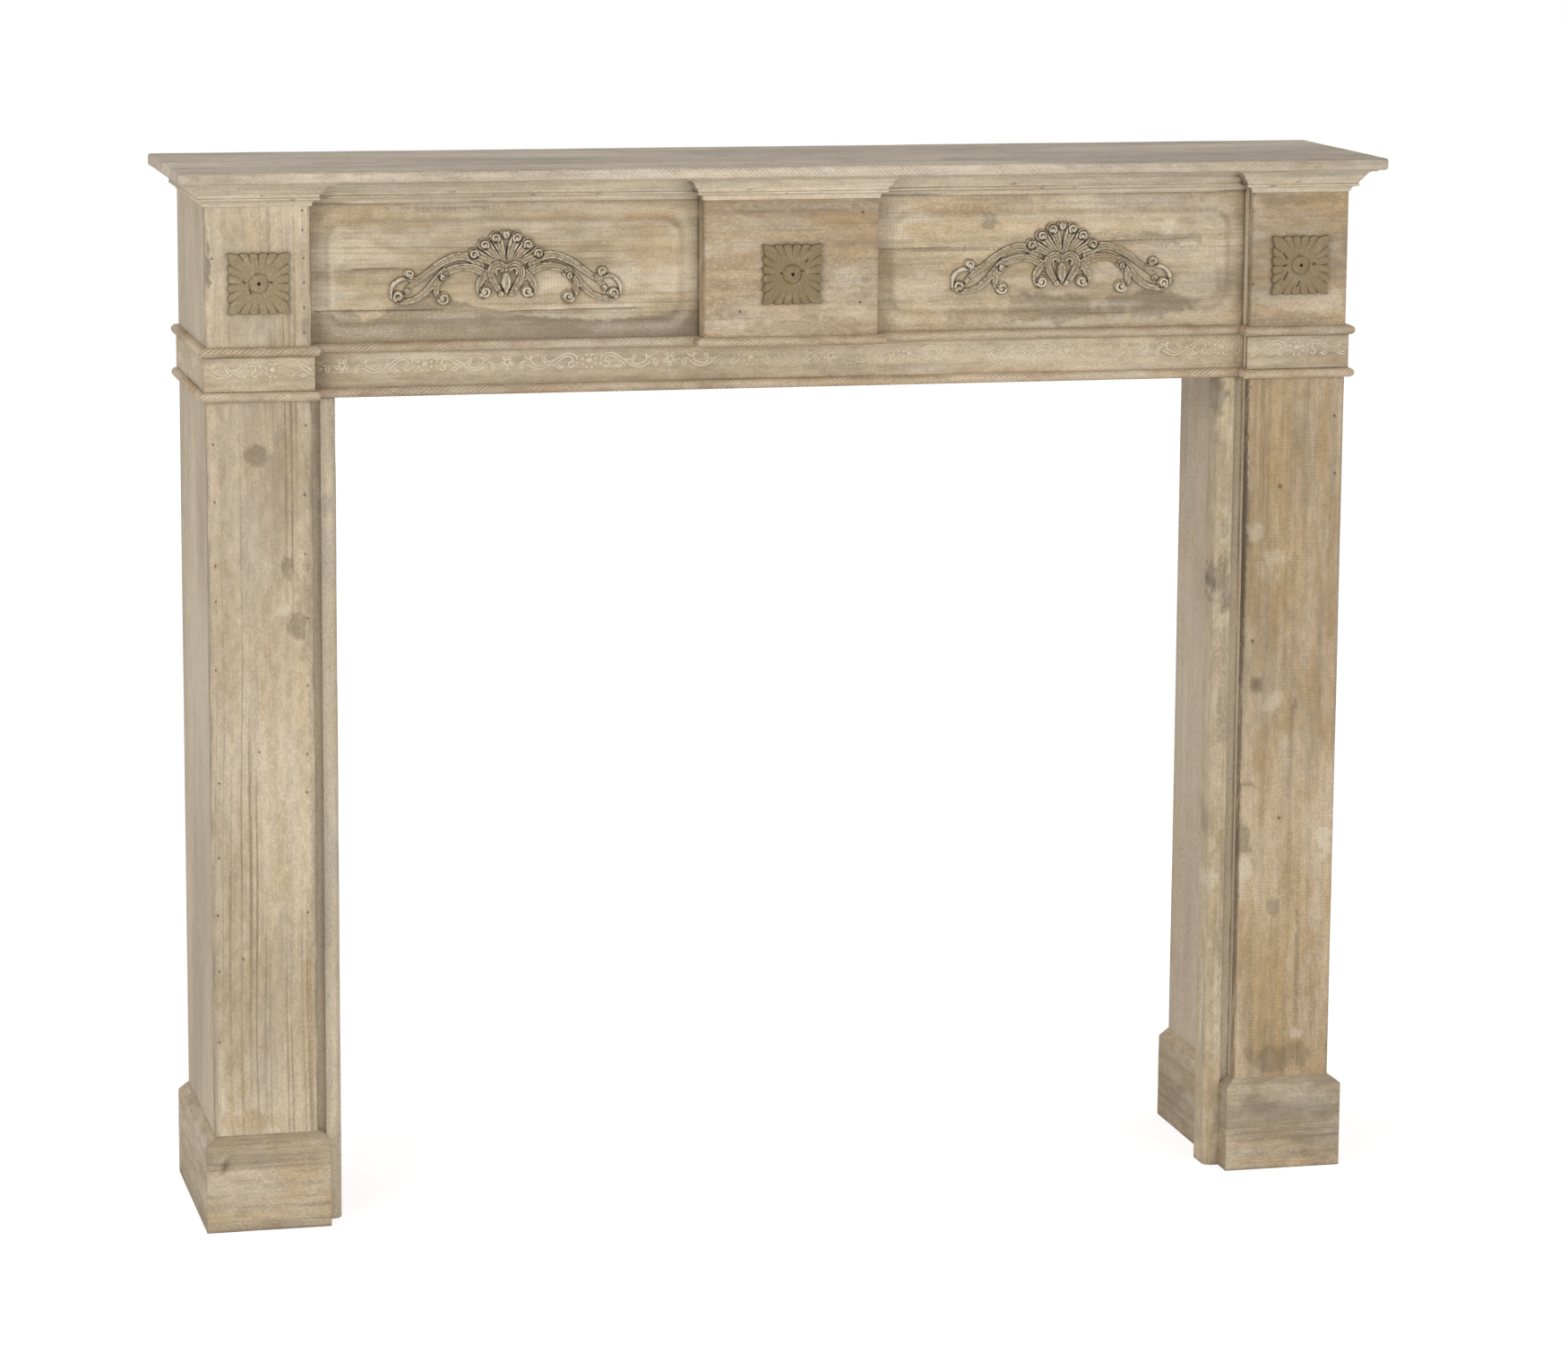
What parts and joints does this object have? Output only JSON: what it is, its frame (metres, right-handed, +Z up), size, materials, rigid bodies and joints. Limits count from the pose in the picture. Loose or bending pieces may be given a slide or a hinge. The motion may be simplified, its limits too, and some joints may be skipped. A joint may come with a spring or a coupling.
{
  "type": "fireplace mantelpiece",
  "caption": "Free-standing wooden fireplace surround with an overhanging shelf, carved frieze with rosettes and shell onlays, rope mouldings and box legs on plinths.",
  "frame": {"origin": "on the floor, at the middle of the overall width and depth", "axes": "+X along the shelf to the viewer's right, +Y back to the wall, +Z up; the carved front faces -Y"},
  "size_m": [1.4, 0.294, 1.208],
  "materials": {
    "shelf_pine": "greyed, worn pine with open grain, matt",
    "moulding_pine": "limed pine, matt, dark dirt in the hollows",
    "rope_pine": "limed pine, matt, dark dirt in the cuts",
    "band_pine": "limed pine, matt, worn",
    "left_leg_pine": "pale limed pine with grey-green stains, matt",
    "right_leg_pine": "weathered honey pine with brown streaks and saw marks, matt",
    "block_pine": "weathered pine with horizontal grain, matt",
    "panel_pine": "weathered pine with saw marks and grey stains, matt",
    "jamb_pine": "worn, speckled grey-brown pine, matt",
    "plinth_pine": "weathered honey pine, horizontal grain, matt",
    "carving_wood": "olive-grey carved wood, dull satin, dark in the cuts"
  },
  "bodies": {
    "root": {"shelf": "shelf_pine", "crown_left_side": "moulding_pine", "crown_left_front": "moulding_pine", "crown_left_return": "moulding_pine", "crown_left_frieze": "moulding_pine", "crown_centre_left": "moulding_pine", "crown_centre_front": "moulding_pine", "crown_centre_right": "moulding_pine", "crown_right_frieze": "moulding_pine", "crown_right_return": "moulding_pine", "crown_right_front": "moulding_pine", "crown_right_side": "moulding_pine", "upper_rope_left_side": "rope_pine", "upper_rope_left_front": "rope_pine", "upper_rope_left_return": "rope_pine", "upper_rope_left_frieze": "rope_pine", "upper_rope_centre_left": "rope_pine", "upper_rope_centre_front": "rope_pine", "upper_rope_centre_right": "rope_pine", "upper_rope_right_frieze": "rope_pine", "upper_rope_right_return": "rope_pine", "upper_rope_right_front": "rope_pine", "upper_rope_right_side": "rope_pine", "lower_rope_left_side": "rope_pine", "lower_rope_left_front": "rope_pine", "lower_rope_left_return": "rope_pine", "lower_rope_lintel": "rope_pine", "lower_rope_right_return": "rope_pine", "lower_rope_right_front": "rope_pine", "lower_rope_right_side": "rope_pine", "band_left_side": "band_pine", "band_left_front": "band_pine", "band_right_front": "band_pine", "band_right_side": "band_pine", "lintel_band": "band_pine", "left_front_board": "left_leg_pine", "right_pilaster_board": "right_leg_pine", "right_end_block": "block_pine", "centre_block": "block_pine", "left_outer_side": "left_leg_pine", "right_outer_side": "right_leg_pine", "left_inner_side": "left_leg_pine", "right_inner_side": "right_leg_pine", "left_frieze_panel": "panel_pine", "left_jamb_moulding": "jamb_pine", "left_plinth_side": "plinth_pine", "left_plinth_front": "plinth_pine", "left_plinth_return": "plinth_pine", "left_plinth_reveal": "plinth_pine", "right_frieze_panel": "panel_pine", "right_jamb_moulding": "jamb_pine", "right_plinth_side": "plinth_pine", "right_plinth_front": "plinth_pine", "right_plinth_return": "plinth_pine", "right_plinth_reveal": "plinth_pine", "rosette_left": "carving_wood", "rosette_centre": "carving_wood", "rosette_right": "carving_wood", "shell_onlay_left": "carving_wood", "shell_onlay_right": "carving_wood"}
  },
  "joints": []
}
